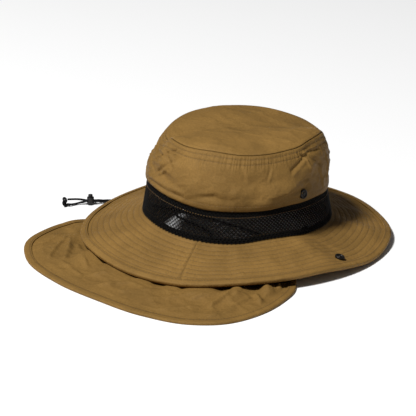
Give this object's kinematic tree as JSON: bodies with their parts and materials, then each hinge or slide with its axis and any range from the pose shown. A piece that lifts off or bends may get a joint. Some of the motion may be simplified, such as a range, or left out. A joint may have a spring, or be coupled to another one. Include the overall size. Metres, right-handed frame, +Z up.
{
  "type": "sun hat",
  "caption": "Wide-brimmed cloth sun hat with a soft crown, a mesh band, a neck cape and a chin cord with a lock, lying flat.",
  "frame": {"origin": "on the surface, under the middle of the hat without its cord", "axes": "+Z up, +Y towards the neck cape at the back, +X towards the wearer's left"},
  "size_m": [0.3395, 0.3728, 0.1151],
  "materials": {
    "tip_nylon": "matt woven",
    "crown_nylon": "matt woven",
    "band_mesh": "open net",
    "brim_nylon": "matt woven with rows of stitching",
    "binding_nylon": "matt woven",
    "cape_nylon": "matt woven",
    "hem_nylon": "matt woven",
    "snap_metal": "dark satin",
    "tab_webbing": "ribbed webbing",
    "cord_braid": "braided",
    "knot_braid": "braided",
    "lock_plastic": "satin",
    "button_plastic": "satin"
  },
  "bodies": {
    "hat": {"crown_top": "tip_nylon", "crown_side": "crown_nylon", "mesh_band": "band_mesh", "brim": "brim_nylon", "brim_binding": "binding_nylon", "neck_cape": "cape_nylon", "cape_hem": "hem_nylon", "crown_snap_left": "snap_metal", "crown_snap_right": "snap_metal", "brim_snap_left": "snap_metal", "brim_snap_right": "snap_metal", "cord_tab_left": "tab_webbing", "cord_tab_right": "tab_webbing", "chin_cord_left": "cord_braid", "chin_cord_right": "cord_braid", "cord_knot": "knot_braid", "cord_lock": "lock_plastic"},
    "lock_button": {"cord_lock_button": "button_plastic"}
  },
  "joints": [
    {"name": "lock_button_press", "type": "slide", "parent": "hat", "child": "lock_button", "axis": [0, 0, -1], "range_m": [0, 0.0015], "stiffness_N_per_m": 800}
  ]
}
